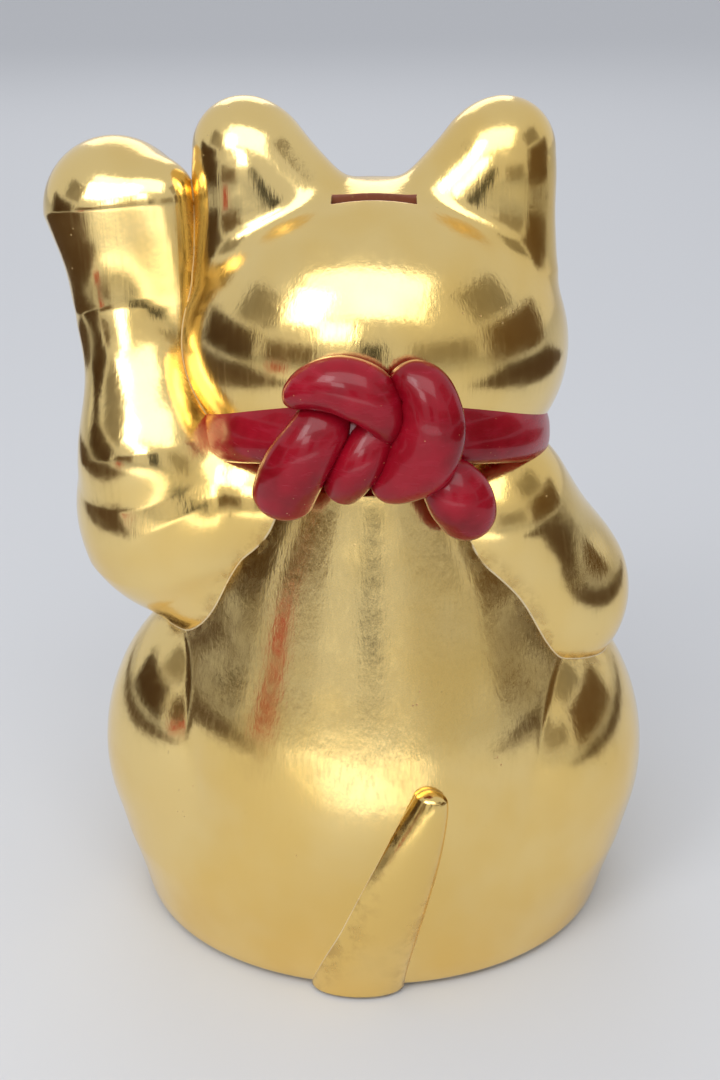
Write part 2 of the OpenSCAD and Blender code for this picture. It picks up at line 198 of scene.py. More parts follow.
def boxMesh(name, low, high):
    # eight corners and six outward faces
    p = np.array(np.meshgrid(*zip(low, high), indexing="ij"), float).reshape(3, 8).T
    faces = [(0, 1, 3, 2), (4, 6, 7, 5), (0, 4, 5, 1), (2, 3, 7, 6), (0, 2, 6, 4), (1, 5, 7, 3)]
    return fillMesh(name, p, faces, {key: np.full(8, farOff) for key in ("seam", "ink", "red")}, smooth=False)


def cutSlot(piece):
    # opens the coin slot in the crown, down to the chamber's roof
    s = headShape
    w, h = s["slot"][0] / 2, s["slot"][1] / 2
    cutter = boxMesh("slotCutter", (-w, s["slotY"] - h, s["slotFloor"]), (w, s["slotY"] + h, 330))
    cut = piece.modifiers.new("slot", "BOOLEAN")
    cut.operation, cut.solver, cut.object = "DIFFERENCE", "EXACT", cutter
    carved = bpy.data.meshes.new_from_object(piece.evaluated_get(bpy.context.evaluated_depsgraph_get()))
    piece.modifiers.clear()
    piece.data = carved
    bpy.data.objects.remove(cutter)


def settle(piece, material, body, node):
    piece.data.materials.append(material)
    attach(piece, body)
    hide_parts(node)


# Shader writing

class Term:
    # a socket that can be used in ordinary arithmetic
    def __init__(self, finish, socket):
        self.finish, self.socket = finish, socket

    def math(self, operation, *others):
        node = self.finish.node("ShaderNodeMath", {"operation": operation}, dict(enumerate([self, *others])))
        return Term(self.finish, node.outputs[0])

    def __add__(self, other):
        return self.math("ADD", other)

    def __radd__(self, other):
        return self.math("ADD", other)

    def __sub__(self, other):
        return self.math("SUBTRACT", other)

    def __rsub__(self, other):
        return self.math("MULTIPLY", -1.0).math("ADD", other)

    def __mul__(self, other):
        return self.math("MULTIPLY", other)

    def atLeast(self, other):
        return self.math("MAXIMUM", other)

    def size(self):
        return self.math("ABSOLUTE")

    def ramp(self, low, high):
        # 0 below low, 1 above high, eased between
        node = self.finish.node("ShaderNodeMapRange", {"interpolation_type": "SMOOTHSTEP"},
                                {"Value": self, "From Min": low, "From Max": high,
                                 "To Min": 0.0, "To Max": 1.0})
        return Term(self.finish, node.outputs[0])


class Finish:
    def __init__(self, name, **fixed):
        self.material = bpy.data.materials.new(name)
        self.material.use_nodes = True
        self.tree = self.material.node_tree
        self.tree.nodes.clear()
        self.shader = self.node("ShaderNodeBsdfPrincipled", {}, fixed)
        self.node("ShaderNodeOutputMaterial", {}, {"Surface": self.shader.outputs[0]})
        self.place = self.node("ShaderNodeTexCoord").outputs["Object"]

    def node(self, kind, settings=None, values=None):
        made = self.tree.nodes.new(kind)
        for key, value in (settings or {}).items():
            setattr(made, key, value)
        for key, value in (values or {}).items():
            socket = made.inputs[key]
            if isinstance(value, Term):
                self.tree.links.new(value.socket, socket)
            elif isinstance(value, bpy.types.NodeSocket):
                self.tree.links.new(value, socket)
            else:
                socket.default_value = value
        return made

    def axes(self):
        node = self.node("ShaderNodeSeparateXYZ", {}, {0: self.place})
        return [Term(self, node.outputs[i]) for i in range(3)]

    def stretched(self, scale, turn=(0, 0, 0), shift=(0, 0, 0)):
        node = self.node("ShaderNodeMapping", {}, {"Vector": self.place, "Scale": scale,
                                                   "Rotation": turn, "Location": shift})
        return node.outputs[0]

    def noise(self, scale, detail=2.0, rough=0.5, where=None):
        node = self.node("ShaderNodeTexNoise", {}, {"Vector": where or self.place, "Scale": scale,
                                                    "Detail": detail, "Roughness": rough})
        return Term(self, node.outputs[0])

    def cells(self, scale):
        node = self.node("ShaderNodeTexVoronoi", {}, {"Vector": self.place, "Scale": scale})
        return Term(self, node.outputs[0])

    def kept(self, name):
        return Term(self, self.node("ShaderNodeAttribute", {"attribute_name": name}).outputs["Fac"])

    def tint(self, amount, colourA, colourB):
        node = self.node("ShaderNodeMix", {"data_type": "RGBA"}, {0: amount})
        for index, value in ((6, colourA), (7, colourB)):
            if isinstance(value, Term):
                self.tree.links.new(value.socket, node.inputs[index])
            else:
                node.inputs[index].default_value = (*value, 1.0)
        return Term(self, node.outputs[2])

    def set(self, **inputs):
        for key, value in inputs.items():
            socket = self.shader.inputs[key.replace("_", " ")]
            if isinstance(value, Term):
                self.tree.links.new(value.socket, socket)
            else:
                socket.default_value = value

    def relief(self, height, strength, distance):
        node = self.node("ShaderNodeBump", {}, {"Height": height, "Strength": strength, "Distance": distance})
        self.tree.links.new(node.outputs[0], self.shader.inputs["Normal"])


# Body: torso, haunches and hind feet

bodyShape = {
    "torso": [  # height, half width, back depth, front depth
        [0, 97, 83, 91], [12, 99, 86, 93], [36, 99, 89, 93], [69, 90, 88, 89], [100, 91, 81, 82],
        [133, 79, 72, 70], [160, 70, 65, 62], [192, 54, 58, 56], [210, 46, 55, 50]],
    "leftHaunch": ((60.5, 5.5, 75), (50.5, 50, 67), -10), "rightHaunch": ((59, 2.5, 72), (52, 61.5, 67), -10),
    "feltTop": 1.6, "edge": 3.0, "neck": 200.0, "recess": 62.05, "recessTop": 8.2, "ledge": 57.0,
    "ledgeTop": 16.0, "centreY": -3, "heel": ((34, -58, 20), 24), "toes": ((50, -88, 17), 18), "footJoin": 16,
    "crease": {"lowJoin": 24, "highJoin": 2, "from": 32, "to": 80},
}


def torsoField(points):
    # oval sections: half width and depths follow the profile's curves with height
    x, y, z = points[..., 0], points[..., 1], points[..., 2]
    a = curve(bodyShape["torso"], z, 1)
    b = np.where(y > 0, curve(bodyShape["torso"], z, 2), curve(bodyShape["torso"], z, 3))
    m = np.sqrt((x / a) ** 2 + (y / b) ** 2)
    return m * (m - 1) / np.maximum(np.sqrt((x / a ** 2) ** 2 + (y / b ** 2) ** 2), 1e-6)


def mirrored(points):
    return np.concatenate([np.abs(points[..., :1]), points[..., 1:]], -1)


def bodyField(points):
    # torso joined to a haunch and a foot on each side, softly low down and sharply higher up
    half = mirrored(points)
    c = bodyShape["crease"]
    k = c["lowJoin"] - (c["lowJoin"] - c["highJoin"]) * np.clip(
        (points[..., 2] - c["from"]) / (c["to"] - c["from"]), 0, 1)
    flipped = points * np.array([-1.0, 1, 1])
    haunch = np.where(points[..., 0] > 0, blob(points, *bodyShape["leftHaunch"]),
                      blob(flipped, *bodyShape["rightHaunch"]))
    joined = soft(torsoField(points), haunch, k)
    return soft(joined, link(half, bodyShape, "heel", "toes"), bodyShape["footJoin"])


def circleRing(radius, height, around):
    u = np.linspace(0, 2 * np.pi, around, endpoint=False)
    return np.stack([radius * np.cos(u), radius * np.sin(u), np.full(around, height)], -1)


# Head

headShape = {
    "skull": ((0, 0, 240), (72.5, 61, 60)), "cheeks": ((0, -20, 227), (69, 46, 40)),
    "muzzle": ((0, -60, 226), (22, 14, 15)), "slot": (30.0, 4.7), "slotY": 18.0, "slotFloor": 285.0,
    "earFoot": ((43, -2, 270), 25), "earTip": ((47.5, -4, 311), 17),
    "innerFoot": ((22.5, 0, 285.5), 19), "innerTip": ((42, -3, 304), 20),
    "cheekJoin": 26, "muzzleJoin": 18, "innerJoin": 14, "earJoin": 8, "middle": (0, -3, 246),
}


def headField(points):
    # skull, cheeks, muzzle and two ears joined softly
    s = headShape
    half = mirrored(points)
    d = blob(points, *s["skull"])
    d = soft(d, blob(points, *s["cheeks"]), s["cheekJoin"])
    d = soft(d, blob(points, *s["muzzle"]), s["muzzleJoin"])
    ear = soft(link(half, s, "earFoot", "earTip"), link(half, s, "innerFoot", "innerTip"), s["innerJoin"])
    return soft(d, ear, s["earJoin"])


# Arms

raisedShape = {  # place and radius of each joint, then how softly the limbs join
    "paw": ((96, -14, 286), 27), "wrist": ((93, -6, 251), 16.5), "forearm": ((82.5, 11, 200), 28),
    "elbow": ((72.5, 2, 173.5), 42), "shoulder": ((42.5, 16, 184), 30.5), "underarm": ((58.5, 8, 151), 32),
    "webTop": ((78.5, 0, 293), 13.5), "webFoot": ((70, -2, 222), 12),
    "wristJoin": 20, "elbowJoin": 14, "underarmJoin": 10, "webJoin": 16, "middle": (82, 2, 166),
}
loweredShape = {
    "shoulder": ((-41, 13.5, 176), 36.5), "elbow": ((-64, 1.5, 137), 36), "paw": ((-60, -62, 112), 22),
    "elbowJoin": 16, "middleLow": (-62, -48, 118), "middleHigh": (-52, 8, 168),
}


def raisedField(points):
    # tapering limbs from the paw to the underarm, and a thin web that closes the gap to the head
    s = raisedShape
    d = link(points, s, "paw", "wrist")
    d = soft(d, link(points, s, "wrist", "forearm"), s["wristJoin"])
    d = soft(d, link(points, s, "forearm", "elbow"), s["elbowJoin"])
    d = soft(d, link(points, s, "elbow", "shoulder"), s["elbowJoin"])
    d = soft(d, link(points, s, "elbow", "underarm"), s["underarmJoin"])
    return soft(d, link(points, s, "webTop", "webFoot"), s["webJoin"])


def loweredField(points):
    # shoulder to elbow, and elbow to the resting paw
    s = loweredShape
    return soft(link(points, s, "shoulder", "elbow"), link(points, s, "elbow", "paw"), s["elbowJoin"])


def seamTo(*fields):
    # millimetres from each point to the nearest of the given pieces, negative inside it
    def measure(points):
        distances = np.stack([f(points) for f in fields])
        nearest = np.abs(distances).argmin(0)
        return np.clip(np.take_along_axis(distances, nearest[None], 0)[0], -farOff, farOff)
    return measure


# Painted details on the front, as millimetres to the nearest stroke

faceShape = {
    "front": -25, "earFront": -6,
    "eye": (27, 249, 10, 6), "nose": (0, 232, 6, 3.6), "ear": (46, 298, 8.5, 16),
    "lines": [(0, 229, 0, 224, 0.6), (31, 233, 55, 240, 0.6), (32, 228, 57, 230, 0.6),
              (31, 223, 54, 219, 0.6)],
    "mouth": (5.5, 224, 5.5, 0.6),
}
raisedToes = {"front": -30,
              "lines": [(88, 274, 88, 290, 0.8), (96, 272, 96, 290, 0.8), (104, 274, 104, 290, 0.8)]}
loweredToes = {"front": -72,
               "lines": [(-67, 96, -67, 108, 0.8), (-60, 94, -60, 107, 0.8), (-53, 96, -53, 108, 0.8)]}
footToes = {"front": -80, "lines": [(43, 12, 43, 25, 0.8), (50, 11, 50, 25, 0.8), (57, 12, 57, 25, 0.8)]}


def oval(x, z, spot):
    # roughly the distance to an upright oval
    a = np.sqrt(((x - spot[0]) / spot[2]) ** 2 + ((z - spot[1]) / spot[3]) ** 2)
    return (a - 1) * min(spot[2], spot[3])


def strokes(x, z, lines):
    # distance to the nearest of some straight strokes with round ends
    nearest = np.full(x.shape, farOff)
    for x0, z0, x1, z1, half in lines:
        vx, vz = x1 - x0, z1 - z0
        h = np.clip(((x - x0) * vx + (z - z0) * vz) / (vx * vx + vz * vz), 0, 1)
        nearest = np.minimum(nearest, np.hypot(x - x0 - h * vx, z - z0 - h * vz) - half)
    return nearest


def faceInk(points):
    # eyes, mouth and whiskers
    s = faceShape
    x, z = np.abs(points[..., 0]), points[..., 2]
    d = np.minimum(oval(x, z, s["eye"]), strokes(x, z, s["lines"]))
    cx, cz, r, half = s["mouth"]
    arc = np.where(z < cz, np.abs(np.hypot(x - cx, z - cz) - r) - half, farOff)
    return np.where(points[..., 1] < s["front"], np.minimum(d, arc), farOff)


def faceRed(points):
    # nose and inner ears
    x, z = np.abs(points[..., 0]), points[..., 2]
    nose = np.where(points[..., 1] < faceShape["front"], oval(x, z, faceShape["nose"]), farOff)
    ear = np.where(points[..., 1] < faceShape["earFront"], oval(x, z, faceShape["ear"]), farOff)
    return np.minimum(nose, ear)


def toeInk(shape, both=False):
    def measure(points):
        x = np.abs(points[..., 0]) if both else points[..., 0]
        return np.where(points[..., 1] < shape["front"], strokes(x, points[..., 2], shape["lines"]), farOff)
    return measure


def bare(points):
    return np.full(len(points), farOff)


# Finishes

# the brown tone is painted shade for the band beside each seam
# the pale seam tone is a painted highlight along each seam
goldTone = {"pale": (0.93, 0.69, 0.28), "deep": (0.89, 0.61, 0.19), "primer": (0.22, 0.04, 0.015),
            "creaseShadeTone": (0.30, 0.16, 0.05), "seamHighlight": (0.78, 0.68, 0.47), "ink": (0.02, 0.014, 0.012),
            "red": (0.36, 0.006, 0.018)}


def gildedFinish(name, painted=False):
    # metal leaf: patchy tone from broad noise, upright brushing from tall narrow noise, pits where
    # cells are near their centres, a painted highlight as pale hairlines where the seam distance is near
    # nothing, painted shade darkening a band beside each seam, and dark primer inside the box of the coin
    # slot;
    # paint lies where its own distance is below nothing
    f = Finish(name, **{"Metallic": 1.0, "Coat Roughness": 0.05})
    tone = f.noise(16, 3, 0.55).ramp(0.35, 0.68)
    brushed = f.noise(1.0, 3, 0.6, f.stretched((700, 700, 30)))
    cloud = f.noise(60, 4, 0.6).ramp(0.42, 0.72)
    sparse = f.noise(30, 2, 0.5, f.stretched((1, 1, 1), shift=(3, 1, 2))).ramp(0.6, 0.72)
    pit = (1 - f.cells(260).ramp(0.05, 0.13)) * sparse
    away = f.kept("seam").size()
    # pale, less metallic line right on each seam: a painted highlight along the seam, which also dips and
    # roughens the relief
    line = (1 - away.ramp(0.1, 0.45)) * f.noise(150, 2, 0.5).ramp(0.3, 0.45)
    # darker, rougher band fading over about 6 mm from each seam: painted shade in the creases between parts
    creaseShade = (1 - away.ramp(0.5, 6.0)) * f.noise(120, 4, 0.65).ramp(0.42, 0.62)
    colour = f.tint(tone, goldTone["pale"], goldTone["deep"])
    colour = f.tint(creaseShade * 0.35, colour, goldTone["creaseShadeTone"])
    colour = f.tint(pit * 0.75, colour, goldTone["primer"])
    colour = f.tint(line * 0.8, colour, goldTone["seamHighlight"])
    x, y, z = f.axes()
    halfLong, halfWide = headShape["slot"][0] / 2 * mm, headShape["slot"][1] / 2 * mm
    slotX = 1 - (x.size() + f.noise(500, 2, 0.6) * 0.001).ramp(halfLong + 0.0004, halfLong + 0.0008)
    slotY = 1 - ((y - headShape["slotY"] * mm).size() + f.noise(500, 2, 0.6) * 0.0006).ramp(
        halfWide + 0.00035, halfWide + 0.00075)
    inSlot = slotX * slotY * z.ramp(0.27, 0.271)
    colour = f.tint(inSlot * 0.95, colour, goldTone["primer"])
    pit = pit.atLeast(inSlot)
    if painted:
        ink = 1 - (f.kept("ink") + f.noise(300, 2, 0.5) * 0.3).ramp(0.05, 0.35)
        red = 1 - (f.kept("red") + f.noise(300, 2, 0.5) * 0.3).ramp(0.05, 0.35)
        colour = f.tint(ink, colour, goldTone["ink"])
        colour = f.tint(red, colour, goldTone["red"])
        pit = pit.atLeast(ink).atLeast(red)
    rough = 0.13 + tone * 0.03 + cloud * 0.06 + brushed.ramp(0.45, 0.75) * 0.06
    rough = rough + creaseShade * 0.15 + pit * 0.3 + line * 0.3
    f.set(Base_Color=colour, Roughness=rough, Metallic=1 - (pit * 0.9).atLeast(line * 0.6), Coat_Weight=0.15)
    bump = brushed * 0.42 + f.noise(45, 3, 0.55) * 0.9 + f.noise(160, 3, 0.6) * 0.3 - pit * 0.4 - line * 0.3
    f.relief(bump, 0.5, 0.00028)
    return f.material


def lacquerFinish(name):
    # glossy crimson: two reds mixed by broad noise, pale slanting streaks from narrow noise, and
    # gold specks where cells are near their centres
    f = Finish(name, **{"Coat Roughness": 0.04, "Specular IOR Level": 0.2})
    tone = f.noise(40, 3, 0.6).ramp(0.3, 0.7)
    streak = f.noise(1.0, 3, 0.6, f.stretched((90, 90, 400), (0.4, 0.7, 0.2))).ramp(0.5, 0.8)
    speck = (1 - f.cells(330).ramp(0.04, 0.09)) * f.noise(50, 2, 0.5).ramp(0.5, 0.65)
    colour = f.tint(tone, (0.20, 0.001, 0.006), (0.34, 0.004, 0.016))
    colour = f.tint(streak * 0.2, colour, (0.46, 0.02, 0.05))
    colour = f.tint(speck * 0.8, colour, (0.66, 0.36, 0.16))
    f.set(Base_Color=colour, Roughness=0.2 + tone * 0.08 + streak * 0.08 + speck * 0.1, Coat_Weight=0.3)
    f.relief(f.noise(55, 3, 0.55) + f.noise(300, 2, 0.5) * 0.15 + streak * 0.1, 0.4, 0.0004)
    return f.material


def clayFinish(name):
    # unglazed clay: two buffs mixed by broad noise, with fine grain
    f = Finish(name)
    grain = f.noise(400, 3, 0.6)
    colour = f.tint(f.noise(30, 3, 0.6).ramp(0.3, 0.7), (0.62, 0.55, 0.44), (0.52, 0.45, 0.35))
    f.set(Base_Color=colour, Roughness=0.8 + grain * 0.15)
    f.relief(grain, 0.4, 0.0002)
    return f.material


def rubberFinish(name):
    # black rubber: dusty patches from broad noise, with fine grain
    f = Finish(name)
    grain = f.noise(700, 2, 0.5)
    colour = f.tint(f.noise(60, 3, 0.6).ramp(0.45, 0.75), (0.018, 0.018, 0.019), (0.05, 0.048, 0.045))
    f.set(Base_Color=colour, Roughness=0.5 + grain * 0.25)
    f.relief(grain, 0.35, 0.0001)
    return f.material


def feltFinish(name):
    # felt: dark fibres from very fine noise
    f = Finish(name, **{"Sheen Weight": 0.4})
    fibre = f.noise(900, 4, 0.7)
    f.set(Base_Color=f.tint(fibre, (0.025, 0.02, 0.018), (0.075, 0.06, 0.055)), Roughness=0.95)
    f.relief(fibre, 0.8, 0.0003)
    return f.material


gilded = gildedFinish("gildedCeramic")
painted = gildedFinish("paintedGilding", True)
crimson = lacquerFinish("crimsonLacquer")
print("finishes made")

# The castings

s = bodyShape
turn = np.radians(np.linspace(0, 90, 9))
rows = int(230 * full)
heights = np.concatenate([s["feltTop"] + s["edge"] * (1 - np.cos(turn)),
                          np.linspace(s["feltTop"] + s["edge"], s["neck"], rows)[1:]])
insets = np.concatenate([s["edge"] * (1 - np.sin(turn)), np.zeros(rows - 1)])
around = int(340 * full)
outer = levelRings(bodyField, heights, insets, (0, s["centreY"]), around, 170)
under = np.stack([circleRing(radius, height, around) for radius, height in (
    (s["ledge"], s["ledgeTop"]), (s["ledge"], s["recessTop"]),
    (s["recess"], s["recessTop"]), (s["recess"], s["feltTop"]))])
bodySeams = {"seam": seamTo(raisedField, loweredField), "ink": toeInk(footToes, True), "red": bare}
body = skin("body", np.concatenate([under, outer]), (0, 0, s["ledgeTop"]),
            (0, s["centreY"], s["neck"]), bodySeams)
settle(body, painted, "figure", "body_casting")

head = ballSkin("head", boxedBall(headField, headShape["middle"], int(150 * full), 130),
                {"seam": seamTo(raisedField), "ink": faceInk, "red": faceRed})
cutSlot(head)
settle(head, painted, "figure", "head_casting")

armCuts = seamTo(headField, bodyField)
rings, low, high = capsuleRings(raisedField, raisedShape["middle"], raisedShape["paw"][0],
                                int(170 * full), int(46 * full), int(150 * full), 90)
raisedArm = skin("raisedArm", rings, low, high, {"seam": armCuts, "ink": toeInk(raisedToes), "red": bare})
settle(raisedArm, painted, "figure", "raised_arm")

rings, low, high = capsuleRings(loweredField, loweredShape["middleLow"], loweredShape["middleHigh"],
                                int(170 * full), int(46 * full), int(90 * full), 110)
loweredArm = skin("loweredArm", rings, low, high, {"seam": armCuts, "ink": toeInk(loweredToes), "red": bare})
settle(loweredArm, painted, "figure", "lowered_arm")
print("castings made")


# Collar, knot and tail: ovals carried along a path

def along(rows, t):
    # smooth curve through the rows, t from 0 to 1
    c = np.array(rows, float)
    n = len(c)
    f = np.clip(t, 0, 1) * (n - 1)
    i = np.minimum(f.astype(int), n - 2)
    f = (f - i)[:, None]
    e = np.vstack([2 * c[0] - c[1], c, 2 * c[-1] - c[-2]])
    a, b, d, g = e[i], e[i + 1], e[i + 2], e[i + 3]
    return 0.5 * (2 * b + (d - a) * f + (2 * a - 5 * b + 4 * d - g) * f ** 2
                  + (3 * b - a - 3 * d + g) * f ** 3)


def strandSkin(name, rows, up, end, around, steps, attributes):
    # oval of half width and half thickness swept along the rows and rounded off at both ends
    t = (1 - np.cos(np.linspace(0, np.pi, steps + 1)[1:-1])) / 2
    p = along(rows, t)
    way = along(rows, t + 0.01)[:, :3] - along(rows, t - 0.01)[:, :3]
    way /= np.linalg.norm(way, axis=-1, keepdims=True)
    side = np.cross(way, np.array(up, float))
    side /= np.linalg.norm(side, axis=-1, keepdims=True)
    out = np.cross(side, way)
    near = 1 - np.clip(np.minimum(t, 1 - t) / end, 0, 1)
    k = np.sqrt(1 - near ** 2)
    u = -np.linspace(0, 2 * np.pi, around, endpoint=False)
    x = (p[:, 3] * k)[:, None] * np.cos(u)
    y = (p[:, 4] * k)[:, None] * np.sin(u)
    rings = p[:, None, :3] + x[..., None] * side[:, None] + y[..., None] * out[:, None]
    ends = along(rows, np.array([0.0, 1.0]))[:, :3]
    return skin(name, rings, ends[0], ends[1], attributes)


collarShape = {"half": 60.0, "deep": 61.0, "height": 204.0, "centreY": 2.0, "tilt": 20.0,
               "bandHalf": 11.5, "bandThick": 7.5, "squareness": 2.4}


def collarSkin(name, around, section):
    # oval ring with a rounded band section, tipped down at the front
    s = collarShape
    u = np.linspace(0, 2 * np.pi, around, endpoint=False)[:, None]
    v = np.linspace(0, 2 * np.pi, section, endpoint=False)[None]
    g = np.stack([np.cos(u) / s["half"], np.sin(u) / s["deep"]])
    g = g / np.linalg.norm(g, axis=0)
    e = s["squareness"]
    square = (np.abs(np.cos(v)) ** e + np.abs(np.sin(v)) ** e) ** (-1 / e)
    w = s["bandThick"] * np.cos(v) * square
    h = s["bandHalf"] * np.sin(v) * square + 0 * u
    x = s["half"] * np.cos(u) + w * g[0]
    y = s["deep"] * np.sin(u) + w * g[1]
    c, n = math.cos(math.radians(s["tilt"])), math.sin(math.radians(s["tilt"]))
    ring = np.stack([x, s["centreY"] + y * c - h * n, s["height"] + y * n + h * c], -1)
    return fillMesh(name, ring.reshape(-1, 3), ringFaces(around, section, wrapRows=True)[:, ::-1], {})


collar = collarSkin("collar", int(260 * full), int(40 * full))
settle(collar, crimson, "figure", "collar_band")

knotShape = {
    "knotRightLobe": ([[-6, 65, 248, 5, 6], [-15.5, 69, 244.5, 9, 8.5], [-19.5, 71.5, 236.5, 10.3, 9.5],
                       [-19.5, 72, 227.5, 11.4, 9.5], [-15.5, 70.5, 218, 11.8, 9.5], [-8, 67, 210, 8.8, 8],
                       [0, 62, 205.5, 5, 6]], 0.1, "knot_right_lobe"),
    "knotLeftLobe": ([[30, 61, 236.5, 3.6, 5], [21.5, 66, 243, 7.8, 8], [12, 69, 245, 10, 9],
                      [3, 70, 242, 10.4, 9], [-3.5, 68.5, 234.5, 8.5, 8],
                      [-7, 64, 224.5, 6, 6]], 0.1, "knot_left_lobe"),
    "knotMiddle": ([[-4, 63, 231, 7, 6], [3, 67, 219.5, 8.5, 8], [8, 66, 211.5, 8.2, 8],
                    [12, 60, 203, 7, 7]], 0.12, "knot_middle"),
    "knotLeftEnd": ([[11.5, 61, 238, 8.5, 6], [20.5, 66.5, 225, 10.4, 9], [27, 66, 214.5, 11.4, 9.5],
                     [31, 62, 204.5, 11.4, 9.5], [33.5, 57, 194, 10.5, 9]], 0.18, "knot_left_end"),
    "knotRightEnd": ([[-20, 60, 215, 7.5, 6.5], [-28, 64.5, 205, 11.2, 9], [-32, 63, 197.5, 11.2, 9.5],
                      [-34.5, 57.5, 186.5, 8.5, 8.5]], 0.22, "knot_right_end"),
}
for name, (rows, end, node) in knotShape.items():
    strand = strandSkin(name, rows, (0, 1, 0.35), end, int(64 * full), int(90 * full), {})
    settle(strand, crimson, "figure", node)

tailShape = [[-22, 83, 93, 5.1, 5.1], [-20, 84.5, 84, 7.6, 6.4], [-14.2, 86, 67, 11, 7.6],
             [-6, 86, 43.5, 14, 8.5], [3, 83, 15, 17, 8.5], [8.8, 79, -9, 18.7, 8.5]]


def flatFoot(piece, height):
    # nothing reaches under the foot's plane
    data = np.empty(len(piece.data.vertices) * 3, np.float32)
    piece.data.vertices.foreach_get("co", data)
    data = data.reshape(-1, 3)
    data[:, 2] = np.maximum(data[:, 2], height * mm)
    piece.data.vertices.foreach_set("co", data.reshape(-1))
    piece.data.update()


tail = strandSkin("tail", tailShape, (0, 1, 0), 0.08, int(80 * full), int(120 * full),
                  {"seam": seamTo(bodyField)})
flatFoot(tail, bodyShape["feltTop"])
settle(tail, gilded, "figure", "tail")
print("collar, knot and tail made")

# Front pieces: bell and plaque

frontShape = {"bell": (0, -72, 163), "bellRadius": 14.0, "bellTip": -18, "rimOut": 1.9, "rimHalf": 1.3,
              "slitZ": -5.2, "slitHalf": 8.0, "holeX": 8.6, "holeRadius": 2.2, "slitDeep": 2.2,
              "plaque": (-20, -84, 92), "plaqueTip": 84,
              "plaqueTurn": -6, "plaqueWide": 22.0, "plaqueHigh": 34.0, "plaqueThick": 8.0}


def placed(points, centre, tip, turn=0.0):
    # tips points about X, turns them about Z and carries them to the centre
    c, n = math.cos(math.radians(tip)), math.sin(math.radians(tip))
    e, g = math.cos(math.radians(turn)), math.sin(math.radians(turn))
    x, y, z = points[..., 0], points[..., 1] * c - points[..., 2] * n, points[..., 1] * n + points[..., 2] * c
    return np.stack([x * e - y * g, x * g + y * e, z], -1) + np.array(centre, float)


def bellSkin(name, around, rows):
    # ball whose radius swells at its waist and dips along a mouth slit with a round hole at each end
    s = frontShape
    v = np.radians(np.linspace(-90, 90, rows + 2)[1:-1])[:, None]
    u = np.linspace(0, 2 * np.pi, around, endpoint=False)[None]
    z = s["bellRadius"] * np.sin(v)
    r = s["bellRadius"] + s["rimOut"] * np.exp(-(z / s["rimHalf"]) ** 2) + 0 * u
    front = np.sin(u) < 0
    x = r * np.cos(v) * np.cos(u)
    down = z - s["slitZ"]
    slit = np.exp(-down ** 4) * (1 - np.clip((np.abs(x) - s["slitHalf"]) / 1.6, 0, 1)) * front
    holes = np.exp(-(((np.abs(x) - s["holeX"]) ** 2 + down ** 2) / s["holeRadius"] ** 2) ** 2) * front
    r = r - s["slitDeep"] * np.maximum(slit, holes)
    z = z + 0 * u
    rings = np.stack([r * np.cos(v) * np.cos(u), r * np.cos(v) * np.sin(u), z], -1)
    ends = np.array([[0, 0, -s["bellRadius"]], [0, 0, s["bellRadius"]]])
    return skin(name, placed(rings, s["bell"], s["bellTip"]), *placed(ends, s["bell"], s["bellTip"]),
                {"seam": bare})


def plaqueSkin(name, around):
    # oval disc with a raised rim and a gently domed face
    s = frontShape
    h, t = s["plaqueHigh"], s["plaqueThick"] / 2
    outline = [(h * 0.5, -t), (h - 1.5, -t), (h - 0.8, -t + 0.2), (h - 0.2, -t + 0.8), (h, -t + 1.5),
               (h, 0), (h, t - 1.5), (h - 0.2, t - 0.8), (h - 0.8, t - 0.2), (h - 1.5, t), (h - 2.8, t),
               (h - 4, t), (h - 4.5, t - 0.5), (h - 5, t - 1.2), (h - 8, t - 1.0), (h * 0.5, t - 0.6),
               (h * 0.25, t - 0.4)]
    profile = np.array(outline)
    u = np.linspace(0, 2 * np.pi, around, endpoint=False)[None]
    r, z = profile[:, :1], profile[:, 1:]
    rings = np.stack([r * np.cos(u) * s["plaqueWide"] / h, r * np.sin(u), z + 0 * u], -1)
    ends = np.array([[0, 0, -t], [0, 0, t - 0.35]])
    return skin(name, placed(rings, s["plaque"], s["plaqueTip"], s["plaqueTurn"]),
                *placed(ends, s["plaque"], s["plaqueTip"], s["plaqueTurn"]), {"seam": bare})


settle(bellSkin("bell", int(128 * full), int(120 * full)), gilded, "figure", "bell")
settle(plaqueSkin("plaque", int(96 * full)), gilded, "figure", "plaque")
print("front pieces made")

# Carried-over pieces

for node, material in (("base_plate", clayFinish("bareClay")), ("stopper", rubberFinish("stopperRubber")),
                       ("felt_ring", feltFinish("baseFelt"))):
    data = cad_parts[node].data
    data.materials.clear()
    data.materials.append(material)
print("base pieces finished")

# Studio

